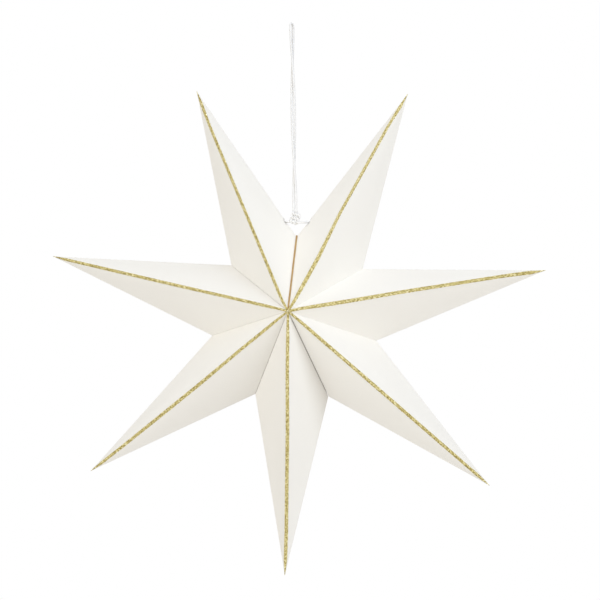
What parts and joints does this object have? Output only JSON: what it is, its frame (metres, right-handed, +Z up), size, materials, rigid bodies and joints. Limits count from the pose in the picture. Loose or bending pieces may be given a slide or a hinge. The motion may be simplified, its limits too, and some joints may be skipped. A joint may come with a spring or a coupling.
{
  "type": "paper advent star",
  "caption": "Folding star of white card with a gold glitter line along the ridge of each point, tied open and hung by a white knotted cord.",
  "frame": {"origin": "where a hook bears, under the top of the cord's loop", "axes": "+Z up along the hanging cord; the front faces -Y; +X to the right, seen from the front"},
  "size_m": [0.5842, 0.1898, 0.6569],
  "materials": {
    "card": "matt off-white card",
    "glitter": "gold glitter",
    "board": "raw kraft board",
    "cord": "white cotton cord"
  },
  "bodies": {
    "root": {"point_1": "card", "point_2": "card", "point_3": "card", "point_4": "card", "point_5": "card", "point_6": "card", "point_7": "card", "front_glitter_1": "glitter", "front_glitter_2": "glitter", "front_glitter_3": "glitter", "front_glitter_4": "glitter", "front_glitter_5": "glitter", "front_glitter_6": "glitter", "front_glitter_7": "glitter", "back_glitter_1": "glitter", "back_glitter_2": "glitter", "back_glitter_3": "glitter", "back_glitter_4": "glitter", "back_glitter_5": "glitter", "back_glitter_6": "glitter", "back_glitter_7": "glitter", "front_strip_left": "board", "front_strip_right": "board", "back_strip_left": "board", "back_strip_right": "board", "hanging_cord": "cord", "cord_knot": "cord", "tie_cord_left": "cord", "tie_cord_right": "cord", "stopper_knot_left": "cord", "stopper_knot_right": "cord"}
  },
  "joints": []
}
